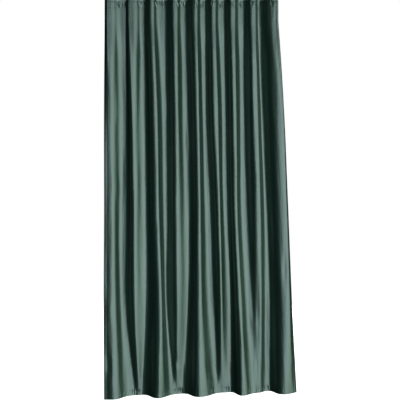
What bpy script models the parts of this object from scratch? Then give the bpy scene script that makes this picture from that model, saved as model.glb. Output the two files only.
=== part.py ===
"""Blackout curtain: one gathered velvet panel with eight hidden tabs sewn behind its heading.

Units are metres. X runs along the top edge, Z is up and the velvet side faces -Y.
The origin is at the middle of the top edge, halfway through the depth of the folds.
"""

from collections import namedtuple
import math

import bmesh
import bpy
import numpy as np

DROP = 2.500  # top edge to hem, down the left edge
FLAT_WIDTH = 1.400  # the cloth's width when it is laid flat
HEM_RISE = 0.036  # how much higher the hem hangs at the right edge
CLOTH = 0.0015  # thickness of the velvet with its blackout backing
HEADING = 0.140  # height over which the folds stay straight, held by the tabs
GATHERED = 0.150  # flat width that the small gathers stitched into the heading take up
GATHERS_END = 0.10  # where they have opened out, as a share of the way from heading to hem
COLUMNS = 120  # parts of the flat width, each as wide as the next
ROWS_BELOW_HEADING = 15

TAB_COLUMNS = 4  # width of a tab, in columns of the cloth
TAB_TOP = 0.045  # top edge of the curtain to the tab's upper seam
TAB_HEIGHT = 0.085
TAB_SEAM = 0.008  # height of the flat sewn strip at either end of a tab
TAB_BOW = 0.032  # how far a tab stands off the back of the cloth when the curtain hangs
TAB_ROUNDNESS = 0.6  # 1 is a sine bow, and less is a fuller one
TAB_ROWS = 12
TAB_START = (-0.060, -0.008)  # where a tab may begin, from the foot of the steep flank beside it
SEWING_GAP = 0.0003

# One row for each fold, from the left edge to the right. A fold starts at its valley, rises over
# a left flank to its ridge, and falls over a wider right flank to the next fold's valley.
# Most values are for five heights, evenly spaced from the heading to the hem:
#   valley and ridge are X, in metres.
#   back and front say how far forward the valley and the ridge stand: 0 is the back, 1 the front.
#   steep_at is where the right flank is steepest, as a share of its width.
#   crease is how sharply it falls there: 1 is an even slope, and 5 a crease.
#   straight is the share of its fall that is an even slope beside the crease.
# rise_at and rise say the same for the left flank as steep_at and crease, at all heights.
Fold = namedtuple("Fold", "valley ridge back front steep_at crease straight rise_at rise")
FOLDS = (
    Fold(
        valley=(-0.541, -0.542, -0.541, -0.543, -0.540),
        ridge=(-0.525, -0.516, -0.510, -0.498, -0.480),
        back=(0.35, 0.93, 0.98, 0.98, 0.93),
        front=(0.90, 0.97, 0.99, 1.00, 1.00),
        steep_at=(0.46, 0.48, 0.47, 0.48, 0.42),
        crease=(4.4, 2.7, 3.0, 2.9, 2.2),
        straight=(0.42, 0.14, 0.10, 0.20, 0.35),
        rise_at=0.50,
        rise=2.10,
    ),
    Fold(
        valley=(-0.410, -0.411, -0.411, -0.414, -0.354),
        ridge=(-0.388, -0.365, -0.353, -0.350, -0.328),
        back=(0.00, 0.03, 0.05, 0.05, 0.05),
        front=(0.85, 0.86, 0.90, 0.76, 0.05),
        steep_at=(0.64, 0.46, 0.45, 0.45, 0.50),
        crease=(3.4, 1.9, 1.7, 1.4, 1.3),
        straight=(0.25, 0.15, 0.20, 0.27, 0.20),
        rise_at=0.50,
        rise=2.10,
    ),
    Fold(
        valley=(-0.297, -0.291, -0.285, -0.285, -0.309),
        ridge=(-0.248, -0.226, -0.215, -0.192, -0.195),
        back=(0.00, 0.05, 0.10, 0.12, 0.00),
        front=(0.95, 1.00, 1.00, 1.00, 1.00),
        steep_at=(0.30, 0.44, 0.45, 0.56, 0.52),
        crease=(3.2, 2.6, 2.6, 2.9, 1.5),
        straight=(0.25, 0.10, 0.10, 0.10, 0.45),
        rise_at=0.50,
        rise=2.10,
    ),
    Fold(
        valley=(-0.164, -0.157, -0.152, -0.154, -0.112),
        ridge=(-0.104, -0.093, -0.090, -0.081, -0.088),
        back=(0.00, 0.00, 0.00, 0.02, 0.18),
        front=(1.00, 0.95, 0.90, 0.74, 0.06),
        steep_at=(0.48, 0.40, 0.46, 0.50, 0.50),
        crease=(3.0, 2.4, 2.0, 1.3, 1.3),
        straight=(0.20, 0.10, 0.10, 0.35, 0.20),
        rise_at=0.50,
        rise=2.10,
    ),
    Fold(
        valley=(-0.041, -0.023, -0.014, -0.021, -0.056),
        ridge=(0.027, 0.040, 0.051, 0.052, 0.059),
        back=(0.00, 0.05, 0.10, 0.08, 0.00),
        front=(1.00, 1.00, 1.00, 1.00, 1.00),
        steep_at=(0.40, 0.42, 0.35, 0.40, 0.60),
        crease=(3.2, 3.0, 2.2, 2.0, 1.7),
        straight=(0.15, 0.10, 0.05, 0.05, 0.25),
        rise_at=0.50,
        rise=2.10,
    ),
    Fold(
        valley=(0.086, 0.093, 0.118, 0.139, 0.170),
        ridge=(0.137, 0.149, 0.175, 0.191, 0.194),
        back=(0.00, 0.00, 0.05, 0.10, 0.15),
        front=(0.90, 0.95, 0.90, 0.75, 0.06),
        steep_at=(0.40, 0.50, 0.36, 0.36, 0.45),
        crease=(3.4, 3.0, 2.6, 1.7, 1.5),
        straight=(0.15, 0.10, 0.05, 0.30, 0.20),
        rise_at=0.50,
        rise=2.10,
    ),
    Fold(
        valley=(0.204, 0.216, 0.226, 0.246, 0.250),
        ridge=(0.256, 0.269, 0.278, 0.301, 0.324),
        back=(0.00, 0.03, 0.05, 0.05, 0.00),
        front=(0.95, 0.95, 0.95, 1.00, 1.00),
        steep_at=(0.46, 0.46, 0.38, 0.42, 0.52),
        crease=(3.0, 2.8, 2.5, 2.3, 1.9),
        straight=(0.15, 0.10, 0.05, 0.05, 0.15),
        rise_at=0.50,
        rise=2.10,
    ),
    Fold(
        valley=(0.325, 0.331, 0.344, 0.375, 0.402),
        ridge=(0.385, 0.398, 0.416, 0.421, 0.420),
        back=(0.00, 0.05, 0.12, 0.33, 0.50),
        front=(0.95, 0.95, 0.90, 0.53, 0.38),
        steep_at=(0.66, 0.64, 0.56, 0.48, 0.42),
        crease=(3.4, 3.0, 2.8, 2.5, 2.2),
        straight=(0.15, 0.10, 0.05, 0.05, 0.10),
        rise_at=0.50,
        rise=2.10,
    ),
    Fold(
        valley=(0.428, 0.449, 0.474, 0.493, 0.495),
        ridge=(0.543, 0.572, 0.588, 0.600, 0.594),
        back=(0.00, 0.00, 0.00, 0.00, 0.00),
        front=(1.00, 1.00, 1.00, 1.00, 1.00),
        steep_at=(0.75, 0.75, 0.75, 0.75, 0.62),
        crease=(2.0, 2.2, 2.2, 2.0, 1.0),
        straight=(0.10, 0.10, 0.10, 0.10, 0.10),
        rise_at=0.35,
        rise=2.00,
    ),
)
RIGHT_EDGE = Fold(
    valley=(0.548, 0.585, 0.610, 0.634, 0.664),
    ridge=(),
    back=(0.95, 0.75, 0.65, 0.60, 0.50),
    front=(),
    steep_at=(),
    crease=(),
    straight=(),
    rise_at=None,
    rise=None,
)
POINTS_ON_A_FLANK = 48
LEAST_DEPTH, MOST_DEPTH = 0.005, 0.200


def clear_scene():
    for thing in list(bpy.data.objects):
        bpy.data.objects.remove(thing)


def make_material(name, colour, roughness):
    material = bpy.data.materials.new(name)
    material.use_nodes = True
    shader = material.node_tree.nodes["Principled BSDF"]
    shader.inputs["Base Color"].default_value = (*colour, 1.0)
    shader.inputs["Roughness"].default_value = roughness
    shader.inputs["Metallic"].default_value = 0.0
    return material


def value_at(column, share):
    """Reads a column smoothly: its values are evenly spaced from the heading, 0, to the hem, 1."""
    last = len(column) - 1
    place = min(max(share, 0.0), 1.0) * last
    i = min(int(place), last - 1)
    t = place - i
    start, end = column[i], column[i + 1]
    slope_in = (end - column[i - 1]) / 2 if i > 0 else end - start
    slope_out = (column[i + 2] - start) / 2 if i + 2 <= last else end - start
    value = start + (end - start) * t * t * (3 - 2 * t)
    value += slope_in * t * (1 - t) ** 2 - slope_out * t * t * (1 - t)
    return value


def flank(start, end, steep_at, crease, straight):
    """Points from one turn of the cloth to the next, each (x, how far forward)."""
    t = np.linspace(0.0, 1.0, POINTS_ON_A_FLANK, endpoint=False)
    before = t**crease
    after = (steep_at / (1 - steep_at) * (1 - t)) ** crease
    gone = straight * t + (1 - straight) * before / (before + after)
    x = start[0] + (end[0] - start[0]) * t
    forward = start[1] + (end[1] - start[1]) * gone
    return np.column_stack((x, forward))


def outline_across(share):
    """The folds across the cloth at one height, as points (x, how far forward)."""
    pieces = []
    for fold, following in zip(FOLDS, FOLDS[1:] + (RIGHT_EDGE,)):
        valley = (value_at(fold.valley, share), value_at(fold.back, share))
        ridge = (value_at(fold.ridge, share), value_at(fold.front, share))
        after = (value_at(following.valley, share), value_at(following.back, share))
        pieces.append(flank(valley, ridge, fold.rise_at, fold.rise, 0.0))
        shape = [value_at(column, share) for column in (fold.steep_at, fold.crease, fold.straight)]
        pieces.append(flank(ridge, after, *shape))
    pieces.append(np.array([after]))
    return np.vstack(pieces)


def length_along(points):
    steps = np.hypot(*np.diff(points, axis=0).T)
    return np.concatenate(([0.0], np.cumsum(steps)))


def section(share):
    """The cloth's middle line at one height, (x, y) at evenly spaced threads of the cloth.

    Cloth doesn't stretch, so the folds get the depth that takes up the flat width, apart from
    what the heading's gathers hold.
    """
    outline = outline_across(share)
    opened = min(share / GATHERS_END, 1.0)
    spread = FLAT_WIDTH - GATHERED * (1 - opened * opened * (3 - 2 * opened))
    low, high = LEAST_DEPTH, MOST_DEPTH
    for _ in range(40):
        depth = (low + high) / 2
        points = np.column_stack((outline[:, 0], depth * (0.5 - outline[:, 1])))
        if length_along(points)[-1] < spread:
            low = depth
        else:
            high = depth
    along = length_along(points)
    threads = np.linspace(0.0, along[-1], COLUMNS + 1)
    x = np.interp(threads, along, points[:, 0])
    y = np.interp(threads, along, points[:, 1])
    return np.column_stack((x, y))


def share_of(drop):
    """How far down the folds have changed, from 0 in the heading to 1 at the hem."""
    return max(0.0, drop - HEADING) / (DROP - HEADING)


def panel_drops():
    below = np.linspace(HEADING, DROP, ROWS_BELOW_HEADING + 1)
    return np.concatenate(([0.0], below))


def sheet_object(name, rows, thickness, material):
    """A sheet through rows of points (x, y, z), solid and of one thickness."""
    down, across = len(rows), len(rows[0])
    shape = bmesh.new()
    bmesh.ops.create_grid(shape, x_segments=across - 1, y_segments=down - 1, size=1.0)
    shape.verts.ensure_lookup_table()
    for i, vertex in enumerate(shape.verts):
        row, column = divmod(i, across)
        vertex.co = rows[down - 1 - row][column]
    mesh = bpy.data.meshes.new(name)
    shape.to_mesh(mesh)
    shape.free()
    mesh.shade_smooth()
    mesh.materials.append(material)
    thing = bpy.data.objects.new(name, mesh)
    bpy.context.scene.collection.objects.link(thing)
    solid = thing.modifiers.new("cloth thickness", "SOLIDIFY")
    solid.thickness = thickness
    solid.offset = 0.0
    solid.use_even_offset = True
    return thing


def make_panel(material):
    slope = HEM_RISE / DROP / COLUMNS
    rows = []
    for drop in panel_drops():
        line = section(share_of(drop))
        rows.append([(x, y, -drop * (1 - slope * i)) for i, (x, y) in enumerate(line)])
    return sheet_object("curtain_panel", rows, CLOTH, material)


def offset_line(line, distance):
    """The line moved sideways by one distance, to its left as it runs."""
    steps = np.diff(line, axis=0)
    steps /= np.hypot(steps[:, 0], steps[:, 1])[:, None]
    before = np.vstack((steps[:1], steps))
    after = np.vstack((steps, steps[-1:]))
    sideways = before + after
    sideways = np.column_stack((-sideways[:, 1], sideways[:, 0]))
    sideways *= 2 / (sideways**2).sum(axis=1)[:, None]
    return line + distance * sideways


def bow_share(t):
    """How much of its bow a tab has, with t from 0 at its upper end to 1 at its lower."""
    seam = TAB_SEAM / TAB_HEIGHT
    free = min(max((t - seam) / (1 - 2 * seam), 0.0), 1.0)
    return math.sin(math.pi * free) ** TAB_ROUNDNESS


def flattest_columns(line, valley_x):
    """The columns behind one valley where both sides of a tab lie furthest back."""
    from_valley = line[:, 0] - valley_x
    starts = np.flatnonzero((from_valley > TAB_START[0]) & (from_valley < TAB_START[1]))
    first = max(starts, key=lambda i: min(line[i, 1], line[i + TAB_COLUMNS, 1]))
    return slice(first, first + TAB_COLUMNS + 1)


def make_tab(number, fold, heading_line, material):
    """A strip sewn behind one valley at its two ends, and bowed back as far as all the others."""
    behind = offset_line(heading_line, CLOTH + SEWING_GAP)
    line = behind[flattest_columns(heading_line, fold.valley[0])]
    furthest = behind[:, 1].max() + TAB_BOW
    rows = []
    for t in np.linspace(0.0, 1.0, TAB_ROWS + 1):
        z = -TAB_TOP - TAB_HEIGHT * t
        rows.append([(x, y + (furthest - y) * bow_share(t), z) for x, y in line])
    return sheet_object(f"tab_{number}", rows, CLOTH, material)


def main():
    clear_scene()
    velvet = make_material("dark green velvet", (0.018, 0.050, 0.036), 0.6)
    tab_cloth = make_material("dark green tab cloth", (0.016, 0.040, 0.030), 0.85)
    make_panel(velvet)
    heading_line = section(0.0)
    for number, fold in enumerate(FOLDS[1:], start=1):
        make_tab(number, fold, heading_line, tab_cloth)


main()
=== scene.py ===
# %% [markdown]
# A velvet blackout curtain, modelled in steps
#
# The object is one panel of dark green velvet, 1.40 m wide when it is laid flat and 2.50 m long.
# It hangs from tabs that are sewn behind its heading, so its folds run from the top edge to the
# hem. This lesson loads the plain solids of the curtain, then builds the cloth that is seen over
# them: the panel with its folds, gathers and hems, the hidden tabs, the stitching, and the finish
# of the pile. Everything is in metres, with Z up, and the velvet side faces -Y.

# %% Load the plain solids
import math
from collections import namedtuple

import bpy
import numpy as np
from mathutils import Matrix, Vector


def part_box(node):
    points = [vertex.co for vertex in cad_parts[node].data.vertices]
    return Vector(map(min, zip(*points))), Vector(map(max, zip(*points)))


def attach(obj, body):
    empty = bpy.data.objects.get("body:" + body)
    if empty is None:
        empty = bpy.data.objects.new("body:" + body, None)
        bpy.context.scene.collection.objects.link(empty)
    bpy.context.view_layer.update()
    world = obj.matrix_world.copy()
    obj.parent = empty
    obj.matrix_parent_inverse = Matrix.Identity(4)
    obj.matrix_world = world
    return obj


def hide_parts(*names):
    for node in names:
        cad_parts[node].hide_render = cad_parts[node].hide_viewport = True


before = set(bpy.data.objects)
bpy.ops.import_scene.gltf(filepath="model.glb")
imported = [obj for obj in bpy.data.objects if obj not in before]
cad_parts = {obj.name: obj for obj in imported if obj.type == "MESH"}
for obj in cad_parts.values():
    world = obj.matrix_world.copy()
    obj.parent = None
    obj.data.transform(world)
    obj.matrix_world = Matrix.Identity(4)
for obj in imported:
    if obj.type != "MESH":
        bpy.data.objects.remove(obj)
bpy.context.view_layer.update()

# %% [markdown]
# The folds
#
# Cloth that hangs from tabs falls in waves. Each wave starts in a valley, rises over a short,
# steep flank to a ridge, and falls over a wider flank to the next valley. Near the hem four of
# the nine waves die out, and their width goes to their neighbours. One table holds all this: a
# row for each fold, with X at five heights for its valley and its ridge, how far back or forward
# each of them stands, and how the cloth falls from the ridge. A table that a reader can change by
# hand was chosen over simulated cloth, because the folds have to be where they are.

# %% Sizes of the cloth
DROP = 2.500
FLAT_WIDTH = 1.400
CLOTH = 0.0015
HEADING = 0.140
print("the cloth is", FLAT_WIDTH, "m wide and", DROP, "m long, and its top", HEADING, "m hangs straight")

# %% The table of folds
Fold = namedtuple("Fold", "valley ridge back front steep_at crease straight rise_at rise")
FOLDS = (
    Fold(
        valley=(-0.541, -0.542, -0.541, -0.543, -0.540),
        ridge=(-0.525, -0.516, -0.510, -0.498, -0.480),
        back=(0.35, 0.93, 0.98, 0.98, 0.93),
        front=(0.90, 0.97, 0.99, 1.00, 1.00),
        steep_at=(0.46, 0.48, 0.47, 0.48, 0.42),
        crease=(4.4, 2.7, 3.0, 2.9, 2.2),
        straight=(0.42, 0.14, 0.10, 0.20, 0.35),
        rise_at=0.50,
        rise=2.10,
    ),
    Fold(
        valley=(-0.410, -0.411, -0.411, -0.414, -0.354),
        ridge=(-0.388, -0.365, -0.353, -0.350, -0.328),
        back=(0.00, 0.03, 0.05, 0.05, 0.05),
        front=(0.85, 0.86, 0.90, 0.76, 0.05),
        steep_at=(0.64, 0.46, 0.45, 0.45, 0.50),
        crease=(3.4, 1.9, 1.7, 1.4, 1.3),
        straight=(0.25, 0.15, 0.20, 0.27, 0.20),
        rise_at=0.50,
        rise=2.10,
    ),
    Fold(
        valley=(-0.297, -0.291, -0.285, -0.285, -0.309),
        ridge=(-0.248, -0.226, -0.215, -0.192, -0.195),
        back=(0.00, 0.05, 0.10, 0.12, 0.00),
        front=(0.95, 1.00, 1.00, 1.00, 1.00),
        steep_at=(0.30, 0.44, 0.45, 0.56, 0.52),
        crease=(3.2, 2.6, 2.6, 2.9, 1.5),
        straight=(0.25, 0.10, 0.10, 0.10, 0.45),
        rise_at=0.50,
        rise=2.10,
    ),
    Fold(
        valley=(-0.164, -0.157, -0.152, -0.154, -0.112),
        ridge=(-0.104, -0.093, -0.090, -0.081, -0.088),
        back=(0.00, 0.00, 0.00, 0.02, 0.18),
        front=(1.00, 0.95, 0.90, 0.74, 0.06),
        steep_at=(0.48, 0.40, 0.46, 0.50, 0.50),
        crease=(3.0, 2.4, 2.0, 1.3, 1.3),
        straight=(0.20, 0.10, 0.10, 0.35, 0.20),
        rise_at=0.50,
        rise=2.10,
    ),
    Fold(
        valley=(-0.041, -0.023, -0.014, -0.021, -0.056),
        ridge=(0.027, 0.040, 0.051, 0.052, 0.059),
        back=(0.00, 0.05, 0.10, 0.08, 0.00),
        front=(1.00, 1.00, 1.00, 1.00, 1.00),
        steep_at=(0.40, 0.42, 0.35, 0.40, 0.60),
        crease=(3.2, 3.0, 2.2, 2.0, 1.7),
        straight=(0.15, 0.10, 0.05, 0.05, 0.25),
        rise_at=0.50,
        rise=2.10,
    ),
    Fold(
        valley=(0.086, 0.093, 0.118, 0.139, 0.170),
        ridge=(0.137, 0.149, 0.175, 0.191, 0.194),
        back=(0.00, 0.00, 0.05, 0.10, 0.15),
        front=(0.90, 0.95, 0.90, 0.75, 0.06),
        steep_at=(0.40, 0.50, 0.36, 0.36, 0.45),
        crease=(3.4, 3.0, 2.6, 1.7, 1.5),
        straight=(0.15, 0.10, 0.05, 0.30, 0.20),
        rise_at=0.50,
        rise=2.10,
    ),
    Fold(
        valley=(0.204, 0.216, 0.226, 0.246, 0.250),
        ridge=(0.256, 0.269, 0.278, 0.301, 0.324),
        back=(0.00, 0.03, 0.05, 0.05, 0.00),
        front=(0.95, 0.95, 0.95, 1.00, 1.00),
        steep_at=(0.46, 0.46, 0.38, 0.42, 0.52),
        crease=(3.0, 2.8, 2.5, 2.3, 1.9),
        straight=(0.15, 0.10, 0.05, 0.05, 0.15),
        rise_at=0.50,
        rise=2.10,
    ),
    Fold(
        valley=(0.325, 0.331, 0.344, 0.375, 0.402),
        ridge=(0.385, 0.398, 0.416, 0.421, 0.420),
        back=(0.00, 0.05, 0.12, 0.33, 0.50),
        front=(0.95, 0.95, 0.90, 0.53, 0.38),
        steep_at=(0.66, 0.64, 0.56, 0.48, 0.42),
        crease=(3.4, 3.0, 2.8, 2.5, 2.2),
        straight=(0.15, 0.10, 0.05, 0.05, 0.10),
        rise_at=0.50,
        rise=2.10,
    ),
    Fold(
        valley=(0.428, 0.449, 0.474, 0.493, 0.495),
        ridge=(0.543, 0.572, 0.588, 0.600, 0.594),
        back=(0.00, 0.00, 0.00, 0.00, 0.00),
        front=(1.00, 1.00, 1.00, 1.00, 1.00),
        steep_at=(0.75, 0.75, 0.75, 0.75, 0.62),
        crease=(2.0, 2.2, 2.2, 2.0, 1.0),
        straight=(0.10, 0.10, 0.10, 0.10, 0.10),
        rise_at=0.35,
        rise=2.00,
    ),
)
print(len(FOLDS), "folds across a flat width of", FLAT_WIDTH, "m")

# %% The right edge of the cloth, where the last fold ends
Edge = namedtuple("Edge", "valley back")
RIGHT_EDGE = Edge(
    valley=(0.548, 0.585, 0.610, 0.634, 0.664),
    back=(0.95, 0.75, 0.65, 0.60, 0.50),
)
print("the hem spans", round(RIGHT_EDGE.valley[-1] - FOLDS[0].valley[-1], 3), "m")

# %% [markdown]
# From the table to a line across the cloth
#
# At each height the table gives where the cloth turns, and how far forward. What it doesn't give
# is how deep the folds are, because the cloth decides that: it doesn't stretch, so the line across
# it has to be as long as the flat cloth is wide. The depth is found by halving a range until the
# length is right. In the heading, small stitched gathers hold 150 mm of the width, and they open
# over the first tenth of the way down.


# %% Read a column of the table at any height
def value_at(column, share):
    last = len(column) - 1
    place = min(max(share, 0.0), 1.0) * last
    i = min(int(place), last - 1)
    t = place - i
    start, end = column[i], column[i + 1]
    slope_in = (end - column[i - 1]) / 2 if i > 0 else end - start
    slope_out = (column[i + 2] - start) / 2 if i + 2 <= last else end - start
    value = start + (end - start) * t * t * (3 - 2 * t)
    value += slope_in * t * (1 - t) ** 2 - slope_out * t * t * (1 - t)
    return value


print("half way down, the first ridge is at X =", round(value_at(FOLDS[0].ridge, 0.5), 3))

# %% One flank, from a turn of the cloth to the next
POINTS_ON_A_FLANK = 72


def flank(start, end, steep_at, crease, straight):
    t = np.linspace(0.0, 1.0, POINTS_ON_A_FLANK, endpoint=False)
    before = t**crease
    after = (steep_at / (1 - steep_at) * (1 - t)) ** crease
    gone = straight * t + (1 - straight) * before / (before + after)
    x = start[0] + (end[0] - start[0]) * t
    forward = start[1] + (end[1] - start[1]) * gone
    return np.column_stack((x, forward))


print("a flank has", POINTS_ON_A_FLANK, "points")


# %% The whole line across, before it has its depth
def outline_across(share):
    pieces = []
    for fold, following in zip(FOLDS, FOLDS[1:] + (RIGHT_EDGE,)):
        valley = (value_at(fold.valley, share), value_at(fold.back, share))
        ridge = (value_at(fold.ridge, share), value_at(fold.front, share))
        after = (value_at(following.valley, share), value_at(following.back, share))
        pieces.append(flank(valley, ridge, fold.rise_at, fold.rise, 0.0))
        shape = [value_at(column, share) for column in (fold.steep_at, fold.crease, fold.straight)]
        pieces.append(flank(ridge, after, *shape))
    pieces.append(np.array([after]))
    return np.vstack(pieces)


print("the line across has", len(outline_across(0.0)), "points")


# %% How long a line is, up to each of its points
def length_along(points):
    steps = np.hypot(*np.diff(points, axis=0).T)
    return np.concatenate(([0.0], np.cumsum(steps)))


flat_top = outline_across(0.0) * [1, 0]
print("without any depth the top edge is", round(length_along(flat_top)[-1], 3), "m")

# %% The line with its depth, at evenly spaced threads of the cloth
GATHERED = 0.150
GATHERS_END = 0.10
LEAST_DEPTH, MOST_DEPTH = 0.005, 0.200
HALVINGS = 40


def section(share, threads):
    outline = outline_across(share)
    opened = min(share / GATHERS_END, 1.0)
    spread = FLAT_WIDTH - GATHERED * (1 - opened * opened * (3 - 2 * opened))
    low, high = LEAST_DEPTH, MOST_DEPTH
    for _ in range(HALVINGS):
        depth = (low + high) / 2
        points = np.column_stack((outline[:, 0], depth * (0.5 - outline[:, 1])))
        if length_along(points)[-1] < spread:
            low = depth
        else:
            high = depth
    along = length_along(points)
    at = threads / FLAT_WIDTH * along[-1]
    return np.interp(at, along, points[:, 0]), np.interp(at, along, points[:, 1])


middle_end = section(1.0, np.array([FLAT_WIDTH / 2]))
print("the middle thread ends at X and Y =", [round(float(v[0]), 3) for v in middle_end])

# %% [markdown]
# Gathers, puckers and creases
#
# Real velvet is never as clean as a formula. Where the heading is gathered, short slanting creases
# stand between its two rows of stitching. Where the hem is stitched, the cloth puckers. And
# a few soft dents across the folds are left from how the cloth was packed. Each is a row of a
# table, with its place, its size and how deep it goes, and each is added as a soft trough (below 0)
# or a soft ridge (above 0) to the height of the cloth. They could be sculpted, but a table keeps
# them easy to move. Where the cloth hangs free, it is also slack: long, shallow waves cross it,
# about half a millimetre high, and they keep the edges of the bright bands from looking ruled.

# %% Places of the stitching, down from the top edge and up from the hem
TOP_STITCH = 0.010
TAB_STITCH = 0.048
HEM_STITCH = 0.028
SIDE_STITCH = 0.020
print("the heading is stitched", TOP_STITCH, "m and", TAB_STITCH, "m down")

# %% Creases between the two rows of stitching in the heading
Gather = namedtuple("Gather", "x lean width height")
GATHERS = (
    Gather(-0.4580, 0.018, 0.0034, -0.0026),
    Gather(-0.4500, 0.018, 0.0032, 0.0018),
    Gather(-0.4330, 0.002, 0.0036, -0.0014),
    Gather(-0.4165, 0.003, 0.0034, -0.0032),
    Gather(-0.4090, 0.002, 0.0030, 0.0016),
    Gather(-0.3290, 0.004, 0.0034, -0.0022),
    Gather(-0.3120, -0.004, 0.0034, 0.0018),
    Gather(-0.2960, 0.016, 0.0036, -0.0026),
    Gather(-0.2230, 0.006, 0.0032, -0.0018),
    Gather(-0.2160, 0.013, 0.0034, 0.0026),
    Gather(-0.1920, 0.012, 0.0030, 0.0016),
    Gather(-0.1850, 0.014, 0.0030, -0.0022),
    Gather(-0.1780, 0.016, 0.0030, 0.0018),
    Gather(-0.1640, 0.016, 0.0036, -0.0028),
    Gather(-0.0870, 0.012, 0.0032, -0.0026),
    Gather(-0.0800, 0.012, 0.0030, 0.0024),
    Gather(-0.0670, 0.006, 0.0032, -0.0024),
    Gather(-0.0560, 0.006, 0.0030, 0.0016),
    Gather(-0.0490, 0.004, 0.0030, -0.0022),
    Gather(-0.0350, -0.006, 0.0034, -0.0024),
    Gather(0.0270, 0.004, 0.0032, 0.0018),
    Gather(0.0390, 0.004, 0.0034, -0.0026),
    Gather(0.0610, 0.003, 0.0032, -0.0024),
    Gather(0.0740, 0.004, 0.0032, -0.0020),
    Gather(0.1310, -0.004, 0.0034, -0.0024),
    Gather(0.1380, -0.004, 0.0030, 0.0016),
    Gather(0.1820, 0.004, 0.0034, -0.0026),
    Gather(0.1920, 0.008, 0.0032, -0.0018),
    Gather(0.2540, 0.012, 0.0034, 0.0022),
    Gather(0.2620, 0.014, 0.0032, -0.0024),
    Gather(0.2860, -0.006, 0.0034, -0.0020),
    Gather(0.3110, 0.010, 0.0034, -0.0026),
    Gather(0.3820, 0.008, 0.0034, -0.0020),
    Gather(0.3950, 0.012, 0.0032, 0.0020),
    Gather(0.4180, -0.006, 0.0034, -0.0026),
    Gather(0.4330, 0.006, 0.0032, -0.0022),
    Gather(0.5060, 0.008, 0.0036, -0.0020),
    Gather(0.5230, 0.004, 0.0034, 0.0018),
)
print(len(GATHERS), "gathers")

# %% Puckers where the hem is stitched
Pucker = namedtuple("Pucker", "x width height")
PUCKERS = (
    Pucker(-0.3720, 0.0034, -0.0026),
    Pucker(-0.3590, 0.0032, -0.0024),
    Pucker(-0.3520, 0.0030, 0.0014),
    Pucker(-0.3440, 0.0034, -0.0028),
    Pucker(-0.3340, 0.0030, -0.0020),
    Pucker(-0.3250, 0.0032, -0.0024),
    Pucker(-0.2600, 0.0040, -0.0012),
    Pucker(-0.1020, 0.0034, -0.0026),
    Pucker(-0.0930, 0.0030, 0.0014),
    Pucker(-0.0830, 0.0034, -0.0022),
    Pucker(-0.0700, 0.0040, -0.0034),
    Pucker(-0.0580, 0.0034, -0.0026),
    Pucker(0.0400, 0.0040, -0.0012),
    Pucker(0.1250, 0.0034, -0.0014),
    Pucker(0.1480, 0.0034, -0.0018),
    Pucker(0.2220, 0.0034, -0.0024),
    Pucker(0.2370, 0.0040, -0.0034),
    Pucker(0.2450, 0.0030, 0.0014),
    Pucker(0.2530, 0.0034, -0.0024),
    Pucker(0.3600, 0.0040, -0.0014),
    Pucker(0.4200, 0.0034, -0.0014),
    Pucker(0.4720, 0.0034, -0.0020),
    Pucker(0.4850, 0.0038, -0.0030),
)
print(len(PUCKERS), "puckers")

# %% Soft dents across the folds
Dent = namedtuple("Dent", "x drop across along height tilt")
DENTS = (
    Dent(-0.325, 2.085, 0.030, 0.020, -0.0030, 0.3),
    Dent(-0.300, 2.060, 0.020, 0.016, 0.0022, -0.2),
    Dent(-0.510, 2.290, 0.018, 0.060, -0.0035, 0.1),
    Dent(-0.505, 1.950, 0.018, 0.050, 0.0030, 0.0),
    Dent(-0.090, 2.280, 0.016, 0.040, -0.0040, 0.4),
    Dent(-0.220, 1.430, 0.014, 0.016, -0.0030, 0.3),
    Dent(0.145, 1.890, 0.020, 0.014, 0.0028, -0.3),
    Dent(0.130, 2.330, 0.030, 0.050, -0.0030, 0.2),
    Dent(-0.465, 1.180, 0.020, 0.050, 0.0024, 0.1),
    Dent(-0.455, 0.700, 0.018, 0.080, 0.0022, 0.0),
    Dent(0.395, 2.060, 0.024, 0.060, 0.0034, 0.1),
    Dent(0.300, 1.050, 0.014, 0.060, 0.0020, 0.0),
    Dent(0.590, 1.700, 0.016, 0.090, -0.0026, 0.0),
    Dent(0.640, 2.290, 0.012, 0.030, 0.0020, 0.2),
    Dent(-0.020, 0.900, 0.016, 0.070, 0.0022, 0.0),
    Dent(-0.165, 0.520, 0.016, 0.060, -0.0020, 0.0),
    Dent(0.115, 1.880, 0.013, 0.380, -0.0017, 0.05),
    Dent(0.318, 2.130, 0.012, 0.180, 0.0028, 0.06),
    Dent(0.439, 2.080, 0.012, 0.260, 0.0032, 0.0),
    Dent(0.469, 2.100, 0.012, 0.240, -0.0034, 0.0),
)
print(len(DENTS), "dents")

# %% Long, shallow waves of cloth that hangs free
Slack = namedtuple("Slack", "across along wander height start")
SLACK = (
    Slack(0.078, 0.90, 0.20, 0.00045, 0.4),
    Slack(0.049, 0.60, 0.30, 0.00035, 2.1),
    Slack(0.031, 0.42, 0.30, 0.00018, 4.0),
)
SLACK_GROWS, SLACK_FADES = 0.15, 0.10
STEADY, WANDER_TURNS = 0.4, 1.7
print(len(SLACK), "sets of waves")


# %% Soft shapes that the heights are made of: a bell, a groove and a ripple
Groove = namedtuple("Groove", "width depth")
Ripple = namedtuple("Ripple", "fine bend bend_by swell start height")


def bell(distance, width):
    return np.exp(-((distance / width) ** 2))


def groove(distance, shape):
    return -shape.depth * bell(distance, shape.width)


def ripple(x, shape):
    fine = np.sin(x * shape.fine + shape.bend * np.sin(x * shape.bend_by))
    return shape.height * fine * np.sin(x * shape.swell + shape.start)


print("a bell is", round(float(bell(1.0, 1.0)), 2), "high at its own width")

# %% The height of the gathers in the heading, at X and at a drop from the top edge
TOP_GROOVE = Groove(0.0026, 0.0008)
TAB_GROOVE = Groove(0.0026, 0.0003)
HEADING_RIPPLE = Ripple(fine=610, bend=2.0, bend_by=97, swell=143, start=1.0, height=0.0005)
BELOW_TABS, BELOW_TOP = 0.022, 0.010
TOP_SHARE = 0.6


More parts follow.
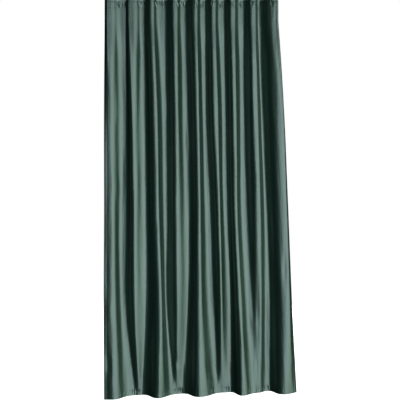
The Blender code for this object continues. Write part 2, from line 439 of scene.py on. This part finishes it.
def heading_height(x, drop):
    middle = (TOP_STITCH + TAB_STITCH) / 2
    half = (TAB_STITCH - TOP_STITCH) / 2
    between = np.clip(1 - ((drop - middle) / half) ** 2, 0.0, 1.0)
    height = np.zeros_like(x)
    for g in GATHERS:
        height += g.height * bell(x - g.x - g.lean * (drop - middle) / (2 * half), g.width)
    height *= between
    below = bell(drop - TAB_STITCH, BELOW_TABS) + TOP_SHARE * bell(drop - TOP_STITCH, BELOW_TOP)
    height += ripple(x, HEADING_RIPPLE) * below
    return height + groove(drop - TOP_STITCH, TOP_GROOVE) + groove(drop - TAB_STITCH, TAB_GROOVE)


print("the deepest gather goes in", -1000 * min(g.height for g in GATHERS), "mm")

# %% The height of the puckers at the hem
HEM_GROOVE = Groove(0.0028, 0.0007)
HEM_RIPPLE = Ripple(fine=540, bend=2.2, bend_by=83, swell=131, start=0.0, height=0.0006)
PUCKERS_UP, ABOVE_HEM = 0.8 * HEM_STITCH, 0.014


def hem_height(x, from_hem):
    height = np.zeros_like(x)
    for p in PUCKERS:
        height += p.height * bell(x - p.x, p.width)
    height = (height + ripple(x, HEM_RIPPLE)) * bell(from_hem - PUCKERS_UP, ABOVE_HEM)
    return height + groove(from_hem - HEM_STITCH, HEM_GROOVE)


print("the deepest pucker goes in", -1000 * min(p.height for p in PUCKERS), "mm")


# %% The height of the dents and of the slack
def dent_height(x, drop):
    height = np.zeros_like(x)
    for d in DENTS:
        across, along = x - d.x, drop - d.drop
        height += d.height * bell(across - d.tilt * along, d.across) * bell(along, d.along)
    return height


def slack_height(thread, drop):
    height = np.zeros_like(drop)
    for w in SLACK:
        down = 2 * math.pi * drop / w.along + w.start
        across = 2 * math.pi * thread / w.across + w.start + w.wander * np.sin(WANDER_TURNS * down)
        height += w.height * np.sin(across) * (STEADY + (1 - STEADY) * np.sin(down))
    below_heading = np.clip((drop - TAB_STITCH) / SLACK_GROWS, 0.0, 1.0)
    above_hem = np.clip((DROP - drop) / SLACK_FADES, 0.0, 1.0)
    return height * below_heading * above_hem


print("the largest wave is", 1000 * SLACK[0].height, "mm high")

# %% [markdown]
# Hang the cloth
#
# The panel starts as what the maker cuts: a flat, rectangular grid. Its rows are closer together
# in the heading and at the hem, where the small gathers are. Every point is then moved to where
# that thread of the cloth hangs. The hem rises 36 mm from left to right, and the ridges hang 5 mm
# lower than the valleys, because nothing holds them from above. The grid keeps a UV map in metres
# of flat cloth, so that the pile later follows the threads and not the room.

# %% Rows down the cloth and threads across it
COLUMNS = 400
ROW_STEPS = ((0.060, 0.0040), (0.180, 0.0150), (2.300, 0.0330), (2.440, 0.0140), (DROP, 0.0050))


def row_drops():
    drops = [0.0]
    for end, step in ROW_STEPS:
        parts = max(1, round((end - drops[-1]) / step))
        drops += list(np.linspace(drops[-1], end, parts + 1)[1:])
    return np.array(drops)


drops = row_drops()
threads = np.linspace(0.0, FLAT_WIDTH, COLUMNS + 1)
print(len(drops), "rows and", len(threads), "threads")


# %% Which way the cloth faces at each point, always towards its velvet side
def facing(points):
    across = np.gradient(points, axis=1)
    down = np.gradient(points, axis=0)
    normal = np.cross(down, across)
    normal /= np.linalg.norm(normal, axis=2, keepdims=True)
    return np.where(normal[:, :, 1:2] > 0, -normal, normal)


flat_square = np.array([[[0, 0, 0], [1, 0, 0]], [[0, 0, -1], [1, 0, -1]]], float)
print("a flat cloth faces", facing(flat_square)[0, 0].tolist())

# %% Where every point of the cloth hangs
HEM_RISE = 0.036
RIDGE_SAG = 0.005
SIDE_GROOVE = Groove(0.0050, 0.0008)


def folds_of_cloth():
    points = np.zeros((len(drops), len(threads), 3))
    for row, drop in enumerate(drops):
        share = max(0.0, drop - HEADING) / (DROP - HEADING)
        x, y = section(share, threads)
        forward = (y.max() - y) / np.ptp(y)
        points[row, :, 0], points[row, :, 1] = x, y
        points[row, :, 2] = -drop * (1 - HEM_RISE / DROP * threads / FLAT_WIDTH) - RIDGE_SAG * forward
    return points


def height_of_cloth(x):
    drop = np.repeat(drops[:, None], len(threads), axis=1)
    thread_at = np.repeat(threads[None, :], len(drops), axis=0)
    from_side = np.minimum(threads, FLAT_WIDTH - threads)[None, :]
    height = heading_height(x, drop) + hem_height(x, DROP - drop) + dent_height(x, drop)
    return height + slack_height(thread_at, drop) + groove(from_side - SIDE_STITCH, SIDE_GROOVE)


cloth_points = folds_of_cloth()
cloth_points += facing(cloth_points) * (CLOTH / 2 + height_of_cloth(cloth_points[:, :, 0]))[:, :, None]
cloth_facing = facing(cloth_points)
print("folds are", round(float(np.ptp(cloth_points[0, :, 1])) * 1000), "mm deep at the top edge and",
      round(float(np.ptp(cloth_points[-1, :, 1])) * 1000), "mm at the hem")

# %% [markdown]
# Colours and small helpers for materials
#
# A colour is picked as an sRGB hex value, as on a screen, and Blender's shaders work with linear
# light, so one function turns the first into the second. Node setups are long when each node,
# value and link has its own line, so one small function adds a node with all of them.


# %% Colours as sRGB hex values
def colour(hex_value):
    parts = [int(hex_value[i : i + 2], 16) / 255 for i in (0, 2, 4)]
    linear = [p / 12.92 if p <= 0.04045 else ((p + 0.055) / 1.055) ** 2.4 for p in parts]
    return (*linear, 1.0)


print("a mid grey is", [round(v, 3) for v in colour("808080")[:3]], "in linear light")


# %% One function adds a node with its settings and links
def add(owner, kind, links=(), **settings):
    node = owner.node_tree.nodes.new(kind)
    for name, value in settings.items():
        if name in node.inputs:
            node.inputs[name].default_value = value
        else:
            setattr(node, name, value)
    for socket, source in dict(links).items():
        owner.node_tree.links.new(source, node.inputs[socket])
    return node


# %% Start and finish a material
MIX_FIRST, MIX_SECOND, MIX_RESULT = 6, 7, 2


def new_material(name):
    material = bpy.data.materials.new(name)
    material.use_nodes = True
    material.node_tree.nodes.clear()
    return material


def finish_material(material, shader):
    add(material, "ShaderNodeOutputMaterial", {"Surface": shader.outputs["BSDF"]})
    print("made", material.name)
    return material


# %% [markdown]
# Pressed velvet pile
#
# Polyester velvet is a woven cloth with a dense, sheared and pressed pile. Seen from the front the
# pressed fibres shine like satin in a broad, soft band, and where they turn away from the light
# the pile swallows it, so a fold goes from pale grey green to nearly black. The dark green of the
# dye shows only on the flanks that face the light at a low angle. So the finish is a deep green
# base and a broad, cool gloss. The pile lies unevenly, in streaks along the drop, and is crushed in
# small patches from how it was packed, so both are drawn as low bumps. A fibre is 0.02 mm thick,
# too fine to show, so the grain of the pile is drawn about 1 mm wide.

# %% Pressed velvet pile
PILE_GRAIN = 0.0011
STREAK_WIDTH = 0.007
STREAK_LENGTH = 0.22
CRUSH_WIDTH = 0.012
CRUSH_LENGTH = 0.034


def velvet_pile():
    m = new_material("pressed polyester velvet, dark green")
    flat = add(m, "ShaderNodeUVMap", uv_map="flat cloth")
    along = add(m, "ShaderNodeMapping", {"Vector": flat.outputs["UV"]},
                Scale=(1 / STREAK_WIDTH, 1 / STREAK_LENGTH, 1.0))
    streaks = add(m, "ShaderNodeTexNoise", {"Vector": along.outputs["Vector"]},
                  Scale=1.0, Detail=3.0, Roughness=0.55)
    crushed_along = add(m, "ShaderNodeMapping", {"Vector": flat.outputs["UV"]},
                        Scale=(1 / CRUSH_WIDTH, 1 / CRUSH_LENGTH, 1.0))
    crushed = add(m, "ShaderNodeTexNoise", {"Vector": crushed_along.outputs["Vector"]},
                  Scale=1.0, Detail=2.0, Roughness=0.5)
    grain = add(m, "ShaderNodeTexNoise", {"Vector": flat.outputs["UV"]},
                Scale=1 / PILE_GRAIN, Detail=1.0)
    tone = add(m, "ShaderNodeMix", {"Factor": streaks.outputs["Fac"]}, data_type="RGBA")
    tone.inputs[MIX_FIRST].default_value = colour("0c1c15")
    tone.inputs[MIX_SECOND].default_value = colour("12291e")
    rough = add(m, "ShaderNodeMapRange", {"Value": streaks.outputs["Fac"]})
    rough.inputs["To Min"].default_value = 0.30
    rough.inputs["To Max"].default_value = 0.38
    lumps = add(m, "ShaderNodeBump", {"Height": streaks.outputs["Fac"]},
                Strength=0.45, Distance=0.0008)
    patches = add(m, "ShaderNodeBump", {
        "Height": crushed.outputs["Fac"],
        "Normal": lumps.outputs["Normal"],
    }, Strength=0.5, Distance=0.0010)
    bump = add(m, "ShaderNodeBump", {
        "Height": grain.outputs["Fac"],
        "Normal": patches.outputs["Normal"],
    }, Strength=0.15, Distance=0.0003)
    shader = add(m, "ShaderNodeBsdfPrincipled", {
        "Base Color": tone.outputs[MIX_RESULT],
        "Roughness": rough.outputs["Result"],
        "Normal": bump.outputs["Normal"],
    })
    shader.inputs["Specular IOR Level"].default_value = 1.0
    shader.inputs["Specular Tint"].default_value = colour("defff6")
    return finish_material(m, shader)


velvet = velvet_pile()

# %% [markdown]
# The coated back
#
# A blackout cloth is made by spreading foamed acrylic on its back in several passes. The foam
# fills the weave and dries to a dull, even skin, a shade paler than the pile, in which the weave
# only just shows. So the finish is a rough surface with hardly any gloss. Its threads are 0.4 mm
# apart, and are drawn nearly three times as coarse so that they show at all.

# %% The coated back of the cloth
BACK_GRAIN = 0.0011
BACK_PATCH = 0.070


def coated_back():
    m = new_material("acrylic foam coating, dark green")
    flat = add(m, "ShaderNodeUVMap", uv_map="flat cloth")
    weave = add(m, "ShaderNodeTexNoise", {"Vector": flat.outputs["UV"]},
                Scale=1 / BACK_GRAIN, Detail=2.0)
    patches = add(m, "ShaderNodeTexNoise", {"Vector": flat.outputs["UV"]},
                  Scale=1 / BACK_PATCH, Detail=2.0)
    tone = add(m, "ShaderNodeMix", {"Factor": patches.outputs["Fac"]}, data_type="RGBA")
    tone.inputs[MIX_FIRST].default_value = colour("3a4c44")
    tone.inputs[MIX_SECOND].default_value = colour("44574e")
    bump = add(m, "ShaderNodeBump", {"Height": weave.outputs["Fac"]}, Strength=0.25, Distance=0.0004)
    shader = add(m, "ShaderNodeBsdfPrincipled", {
        "Base Color": tone.outputs[MIX_RESULT],
        "Normal": bump.outputs["Normal"],
    }, Roughness=0.75)
    shader.inputs["Specular IOR Level"].default_value = 0.35
    shader.inputs["Sheen Weight"].default_value = 0.05
    return finish_material(m, shader)


backing = coated_back()

# %% [markdown]
# Tab cloth and sewing thread
#
# The tabs are cut from plain woven polyester, one thread over and one under, which looks dull and
# slightly dotted. Real threads are 0.4 mm apart, and are drawn three times as coarse. The sewing
# thread is spun from short polyester fibres in three plies, so it is nearly matt, and its shade
# wavers a little where the plies cross.

# %% Plain woven cloth of the tabs
THREAD_SPACING = 0.0012
WAVE_SCALE = math.pi / 10 / THREAD_SPACING


def tab_weave():
    m = new_material("plain woven polyester, dark green")
    flat = add(m, "ShaderNodeUVMap", uv_map="flat cloth")
    warp = add(m, "ShaderNodeTexWave", {"Vector": flat.outputs["UV"]}, bands_direction="X",
               Scale=WAVE_SCALE, Distortion=0.4)
    weft = add(m, "ShaderNodeTexWave", {"Vector": flat.outputs["UV"]}, bands_direction="Y",
               Scale=WAVE_SCALE, Distortion=0.4)
    weave = add(m, "ShaderNodeMath", {0: warp.outputs["Fac"], 1: weft.outputs["Fac"]},
                operation="MULTIPLY")
    tone = add(m, "ShaderNodeMix", {"Factor": weave.outputs["Value"]}, data_type="RGBA")
    tone.inputs[MIX_FIRST].default_value = colour("1d3329")
    tone.inputs[MIX_SECOND].default_value = colour("2c4a3c")
    bump = add(m, "ShaderNodeBump", {"Height": weave.outputs["Value"]}, Strength=0.35, Distance=0.0004)
    shader = add(m, "ShaderNodeBsdfPrincipled", {
        "Base Color": tone.outputs[MIX_RESULT],
        "Normal": bump.outputs["Normal"],
    }, Roughness=0.72)
    shader.inputs["Sheen Weight"].default_value = 0.08
    return finish_material(m, shader)


tab_cloth = tab_weave()

# %% Sewing thread
PLY = 0.0007


def sewing_thread():
    m = new_material("spun polyester thread, dark green")
    twist = add(m, "ShaderNodeTexCoord")
    plies = add(m, "ShaderNodeTexNoise", {"Vector": twist.outputs["Object"]}, Scale=1 / PLY)
    tone = add(m, "ShaderNodeMix", {"Factor": plies.outputs["Fac"]}, data_type="RGBA")
    tone.inputs[MIX_FIRST].default_value = colour("2c4638")
    tone.inputs[MIX_SECOND].default_value = colour("4d6b5b")
    shader = add(m, "ShaderNodeBsdfPrincipled", {"Base Color": tone.outputs[MIX_RESULT]}, Roughness=0.55)
    return finish_material(m, shader)


thread = sewing_thread()

# %% [markdown]
# The panel
#
# A grid is added with a point for each row and thread, its points take their hung places, and
# Solidify gives it its thickness towards the back. The turned hems are the same cloth, folded over,
# so they are made by thickness too: a vertex group tells Solidify to be twice as thick there.


# %% A flat grid, hung at given points
def hung_grid(name, points, flat_across, flat_down):
    down, across = points.shape[:2]
    bpy.ops.object.select_all(action="DESELECT")
    bpy.ops.mesh.primitive_grid_add(x_subdivisions=across - 1, y_subdivisions=down - 1, size=1.0)
    piece = bpy.context.object
    piece.name = name
    piece.data.name = name
    in_order = points[::-1].reshape(-1, 3)
    piece.data.vertices.foreach_set("co", in_order.astype(np.float32).ravel())
    uv = np.stack(np.meshgrid(flat_across, -flat_down[::-1]), axis=2).reshape(-1, 2)
    corners = np.zeros(len(piece.data.loops), np.int32)
    piece.data.loops.foreach_get("vertex_index", corners)
    layer = piece.data.uv_layers.active
    layer.name = "flat cloth"
    layer.uv.foreach_set("vector", uv[corners].astype(np.float32).ravel())
    piece.data.update()
    print(name, "has", down, "rows of", across, "points")
    return piece


# %% Thickness towards the back, doubled in the turned hems
SMOOTH_UP_TO = math.radians(50)


def select_only(piece):
    bpy.ops.object.select_all(action="DESELECT")
    piece.select_set(True)
    bpy.context.view_layer.objects.active = piece


def thicken(piece, thickness, share_of_double):
    hems = piece.vertex_groups.new(name="hems")
    for index, weight in enumerate(share_of_double):
        hems.add([index], float(weight), "REPLACE")
    select_only(piece)
    solid = piece.modifiers.new("thickness", "SOLIDIFY")
    solid.thickness = 2 * thickness
    solid.offset = -1.0
    solid.use_even_offset = True
    solid.vertex_group = "hems"
    solid.material_offset = 1
    solid.material_offset_rim = 0
    bpy.ops.object.modifier_apply(modifier=solid.name)
    piece.vertex_groups.clear()
    bpy.ops.object.shade_smooth_by_angle(angle=SMOOTH_UP_TO)
    print(piece.name, "has", len(piece.data.polygons), "faces")


# %% Make the panel
DOUBLE, SINGLE = 1.0, 0.5


def in_a_hem():
    drop = np.repeat(drops[:, None], len(threads), axis=1)
    side = np.repeat(np.minimum(threads, FLAT_WIDTH - threads)[None, :], len(drops), axis=0)
    turned = (drop < TAB_STITCH) | (drop > DROP - HEM_STITCH) | (side < SIDE_STITCH)
    return np.where(turned, DOUBLE, SINGLE)


panel = hung_grid("velvet_curtain", cloth_points, threads, drops)
panel.data.materials.append(velvet)
panel.data.materials.append(backing)
thicken(panel, CLOTH, in_a_hem()[::-1].ravel())

# %% [markdown]
# The hidden tabs
#
# Each tab is a short strip of plain cloth, sewn behind a valley at its two ends and bowed away
# from the cloth between them. Its width and its place come from the plain solid that it stands
# for. The strip's own side turnings make its edges thicker, and it is a little crumpled, as a soft
# strip is. It could be an extruded curve, but a hung grid keeps the same UV map as the panel's.


# %% Where a point of the cloth's back is
def back_of_cloth(x, drop):
    row = int(np.argmin(np.abs(drops - drop)))
    line = cloth_points[row]
    return np.interp(x, line[:, 0], line[:, 1]) + CLOTH


print("the back of the cloth is at Y =", round(float(back_of_cloth(0.0, 0.09)), 3), "behind the middle")

# %% Points of one tab
TAB_FLAT = 0.121
TAB_ACROSS = 18
TAB_DOWN = 44
TAB_SEAM = 0.008
TAB_ROUNDNESS = 0.6
TAB_OFF_CLOTH = 0.0026
TAB_INSIDE_SOLID = 0.0010
CRUMPLE_HEIGHT = 0.0008
CRUMPLE_DOWN, CRUMPLE_ACROSS = 9, 90


def tab_points(low, high, crumple):
    xs = np.linspace(low[0], high[0], TAB_ACROSS + 1)
    ts = np.linspace(0.0, 1.0, TAB_DOWN + 1)
    height = high[2] - low[2]
    points = np.zeros((len(ts), len(xs), 3))
    for i, t in enumerate(ts):
        free = min(max((t * height - TAB_SEAM) / (height - 2 * TAB_SEAM), 0.0), 1.0)
        bow = math.sin(math.pi * free) ** TAB_ROUNDNESS
        for j, x in enumerate(xs):
            sewn = back_of_cloth(x, -high[2] + t * height) + TAB_OFF_CLOTH
            down = math.sin(CRUMPLE_DOWN * t + crumple)
            across = math.sin(CRUMPLE_ACROSS * (x - low[0]) + crumple)
            crumpled = CRUMPLE_HEIGHT * down * across
            y = sewn + (high[1] - TAB_INSIDE_SOLID - sewn) * bow + crumpled * bow
            points[i, j] = (x, y, high[2] - t * height)
    return points[:, ::-1], xs - low[0], ts * TAB_FLAT


print("a tab has", (TAB_ACROSS + 1) * (TAB_DOWN + 1), "points")

# %% Make the tabs
TAB_CLOTH = 0.0007
TAB_TURNING = 0.007
TAB_SINGLE = 0.6
CRUMPLE_STEP = 1.7


def make_tab(number):
    node = f"tab_{number}"
    low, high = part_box(node)
    points, across, down = tab_points(low, high, crumple=CRUMPLE_STEP * number)
    piece = hung_grid(f"hidden_tab_{number}", points, across, down)
    edge = np.minimum(across, across[-1] - across)
    turned = np.repeat(np.where(edge < TAB_TURNING, DOUBLE, TAB_SINGLE)[None, :], len(down), axis=0)
    piece.data.materials.append(tab_cloth)
    piece.data.materials.append(tab_cloth)
    thicken(piece, TAB_CLOTH, turned.ravel())
    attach(piece, "root")
    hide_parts(node)
    return piece


tabs = [make_tab(number) for number in range(1, len(FOLDS))]
print(len(tabs), "tabs")

# %% [markdown]
# Stitching
#
# A row of stitches is one small stitch, repeated. One stitch is modelled: a ball with few sides,
# drawn out to a short, thin spindle. Copies of it are laid along the path of the seam, each turned
# to the cloth there, and joined into one mesh for each seam, because thousands of small objects
# would be slow. The thread is 0.5 mm thick and each stitch is 4 mm long, as on a heavy curtain.


# %% Model one stitch, 1 long and 1 wide
def one_stitch():
    bpy.ops.object.select_all(action="DESELECT")
    bpy.ops.mesh.primitive_uv_sphere_add(segments=4, ring_count=5, radius=0.5)
    ball = bpy.context.object
    corners = np.zeros(len(ball.data.vertices) * 3)
    ball.data.vertices.foreach_get("co", corners)
    faces = [tuple(face.vertices) for face in ball.data.polygons]
    bpy.data.objects.remove(ball)
    return corners.reshape(-1, 3), faces


stitch_corners, stitch_faces = one_stitch()
print("one stitch has", len(stitch_faces), "faces")

# %% Copies of it, along points on the cloth
STITCH = 0.0040
STITCH_THREAD = 0.0005
STITCH_SHARE = 0.92


def stitch_rows(name, rows):
    corners, faces = [], []
    for path, facing_at in rows:
        for start, end, out in zip(path[:-1], path[1:], facing_at[:-1]):
            along = end - start
            aside = np.cross(along, out)
            aside /= np.linalg.norm(aside)
            turned = np.stack((aside * STITCH_THREAD, out * STITCH_THREAD, along * STITCH_SHARE))
            first = len(corners) * len(stitch_corners)
            corners.append((start + end) / 2 + stitch_corners @ turned)
            faces += [tuple(first + i for i in face) for face in stitch_faces]
    mesh = bpy.data.meshes.new(name)
    mesh.from_pydata(np.vstack(corners).tolist(), [], faces)
    mesh.materials.append(thread)
    mesh.shade_smooth()
    piece = bpy.data.objects.new(name, mesh)
    bpy.context.scene.collection.objects.link(piece)
    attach(piece, "root")
    print(name, "has", len(mesh.polygons), "faces")
    return piece


# %% A value of the cloth's grid at any thread and drop
def grid_at(grid, thread_at, drop_at):
    column = np.interp(thread_at, threads, np.arange(len(threads)))
    row = np.interp(drop_at, drops, np.arange(len(drops)))
    i = np.minimum(row.astype(int), len(drops) - 2)
    j = np.minimum(column.astype(int), len(threads) - 2)
    s, t = (row - i)[:, None], (column - j)[:, None]
    upper = grid[i, j] * (1 - t) + grid[i, j + 1] * t
    lower = grid[i + 1, j] * (1 - t) + grid[i + 1, j + 1] * t
    return upper * (1 - s) + lower * s


middle = grid_at(cloth_points, np.array([FLAT_WIDTH / 2]), np.array([DROP / 2]))[0]
print("the middle of the cloth hangs at", [round(float(v), 3) for v in middle])

# %% Points of a seam, on the front or on the back of the cloth
THREAD_OFF_CLOTH = 0.0001


def seam(start, end, behind):
    length = math.hypot(end[0] - start[0], end[1] - start[1])
    share = np.linspace(0.0, 1.0, round(length / STITCH) + 1)
    thread_at = start[0] + (end[0] - start[0]) * share
    drop_at = start[1] + (end[1] - start[1]) * share
    out = grid_at(cloth_facing, thread_at, drop_at)
    out /= np.linalg.norm(out, axis=1)[:, None]
    place = grid_at(cloth_points, thread_at, drop_at)
    if behind:
        return place - out * (2 * CLOTH + THREAD_OFF_CLOTH), -out
    return place + out * THREAD_OFF_CLOTH, out


def both_faces(start, end):
    return [seam(start, end, behind) for behind in (False, True)]


print("a seam as long as the drop has", round(DROP / STITCH), "stitches")

# %% Sew the heading, the hem and the sides
LEFT_END, RIGHT_END = 0.004, FLAT_WIDTH - 0.004
LEFT_SEAM, RIGHT_SEAM = SIDE_STITCH - 0.002, FLAT_WIDTH - SIDE_STITCH + 0.002
TAB_SEAM_DROP = TAB_STITCH - 0.001
HEM_SEAM_DROP = DROP - HEM_STITCH + 0.001
SIDE_FROM, SIDE_TO = 0.05, DROP - 0.03

top_rows = both_faces((LEFT_END, TOP_STITCH), (RIGHT_END, TOP_STITCH))
tab_rows = both_faces((LEFT_END, TAB_SEAM_DROP), (RIGHT_END, TAB_SEAM_DROP))
hem_rows = both_faces((LEFT_END, HEM_SEAM_DROP), (RIGHT_END, HEM_SEAM_DROP))
left_rows = both_faces((LEFT_SEAM, SIDE_FROM), (LEFT_SEAM, SIDE_TO))
right_rows = both_faces((RIGHT_SEAM, SIDE_FROM), (RIGHT_SEAM, SIDE_TO))
seams = [
    stitch_rows("heading_stitching", top_rows + tab_rows),
    stitch_rows("hem_stitching", hem_rows),
    stitch_rows("left_side_stitching", left_rows),
    stitch_rows("right_side_stitching", right_rows),
]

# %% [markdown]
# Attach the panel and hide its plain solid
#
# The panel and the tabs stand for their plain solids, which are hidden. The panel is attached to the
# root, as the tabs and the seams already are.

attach(panel, "root")
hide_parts("curtain_panel")
print("declared", panel.name, "with", len(seams), "seams, and", len(tabs), "tabs")

# %% [markdown]
# The studio
#
# The curtain hangs just above a plain pale floor. A very large, soft wall of light stands in
# front, from the middle to far right, so the folds that face it shine and those that face away go
# dark. It is three upright panels side by side, each a little dimmer than the one before, so that
# small changes in how the cloth turns show inside the bright bands too. Below each of them hangs a
# lower one with about half its light, which the folds near the hem mirror. A faint blue panel on
# the left keeps the dark sides from going flat, and a weak light behind shows the back.

# %% A plain pale floor
FLOOR_GAP = 0.03
FLOOR_SIZE = 9.0
FLOOR_BACK = 2.4
bpy.ops.object.select_all(action="DESELECT")
bpy.ops.mesh.primitive_plane_add(size=FLOOR_SIZE, location=(0.0, FLOOR_BACK, -DROP - FLOOR_GAP))
floor = bpy.context.object
floor.name = "studio_floor"
paper = new_material("pale studio paper")
paper_shader = add(paper, "ShaderNodeBsdfPrincipled", Roughness=0.9)
paper_shader.inputs["Base Color"].default_value = colour("f4f4f2")
paper_shader.inputs["Emission Color"].default_value = colour("ffffff")
paper_shader.inputs["Emission Strength"].default_value = 1.0
finish_material(paper, paper_shader)
floor.data.materials.append(paper)
floor.visible_diffuse = False
floor.visible_glossy = False
floor.visible_shadow = False


# %% Soft lights
def soft_light(name, azimuth, distance, width, height, power, z=-DROP / 2, light_colour="ffffff"):
    turn = math.radians(azimuth)
    bpy.ops.object.light_add(type="AREA")
    light = bpy.context.object
    light.name = name
    light.location = (distance * math.sin(turn), -distance * math.cos(turn), z)
    light.rotation_euler = (math.pi / 2, 0.0, turn)
    light.data.shape = "RECTANGLE"
    light.data.size, light.data.size_y = width, height
    light.data.energy = power
    light.data.color = colour(light_colour)[:3]
    light.visible_camera = False
    print(name, "gives", round(power), "W")


# %% The wall of light in front, and the two weak panels
KEY_DISTANCE, KEY_WIDTH = 12.0, 4.9
LOW_SHARE = 0.48
Key = namedtuple("Key", "name azimuth power light_colour")
KEYS = (
    Key("near", 12.0, 572, "f6faff"),
    Key("middle", 35.0, 532, "ffffff"),
    Key("far", 58.0, 412, "f0fff2"),
)
for key in KEYS:
    soft_light(f"key_{key.name}", key.azimuth, KEY_DISTANCE, KEY_WIDTH, height=8.9, z=-0.1,
               power=key.power, light_colour=key.light_colour)
    soft_light(f"key_{key.name}_low", key.azimuth, KEY_DISTANCE, KEY_WIDTH, height=5.0, z=-7.05,
               power=key.power * LOW_SHARE, light_colour=key.light_colour)
soft_light("fill_panel", azimuth=-60, distance=8.0, width=9.0, height=8.0, power=12,
           light_colour="5f86d0")
soft_light("back_panel", azimuth=155, distance=4.0, width=3.0, height=3.0, power=220)

# %% [markdown]
# The world
#
# The backdrop is white to the eye, as in a picture of a thing on white paper, but a white world
# would light every fold from all round and grey the dark ones. So the world is white only for rays
# that come from the camera, and nearly dark for all others. The Standard view transform shows the
# colours as they were picked.

# %% The world: white to the eye, and dim as light
WORLD_LIGHT = 0.004
world = bpy.data.worlds.new("studio")
bpy.context.scene.world = world
world.use_nodes = True
world.node_tree.nodes.clear()
seen = add(world, "ShaderNodeLightPath")
bright = add(world, "ShaderNodeBackground", Color=colour("ffffff"))
dim = add(world, "ShaderNodeBackground", Color=colour("ffffff"), Strength=WORLD_LIGHT)
choose = add(world, "ShaderNodeMixShader", {
    0: seen.outputs["Is Camera Ray"],
    1: dim.outputs["Background"],
    2: bright.outputs["Background"],
})
add(world, "ShaderNodeOutputWorld", {"Surface": choose.outputs["Shader"]})
bpy.context.scene.view_settings.view_transform = "Standard"
print("the world has", len(world.node_tree.nodes), "nodes")

# %% [markdown]
# The camera
#
# It looks at the curtain square on, from the middle of its height. The picture is 400 pixels wide
# and the curtain is 398.5 of them high, so a pixel is 6.27 mm of curtain. The distance is where the
# hem's scallops look right.

# %% Place the camera
PICTURE_PIXELS, CURTAIN_PIXELS = 400, 398.5
PIXEL = DROP / CURTAIN_PIXELS
TOP_ABOVE_FRAME = 1.0 * PIXEL
FRAME_WIDTH = PICTURE_PIXELS * PIXEL
CAMERA_X = 0.058
CAMERA_DISTANCE = 4.2
SENSOR = 36.0
eye_height = -TOP_ABOVE_FRAME - FRAME_WIDTH / 2
eye = (CAMERA_X, -CAMERA_DISTANCE, eye_height)
bpy.ops.object.camera_add(location=eye, rotation=(math.pi / 2, 0.0, 0.0))
camera = bpy.context.object
camera.data.sensor_width = SENSOR
camera.data.lens = SENSOR * CAMERA_DISTANCE / FRAME_WIDTH
bpy.context.scene.camera = camera
print("lens", round(camera.data.lens, 1), "mm")
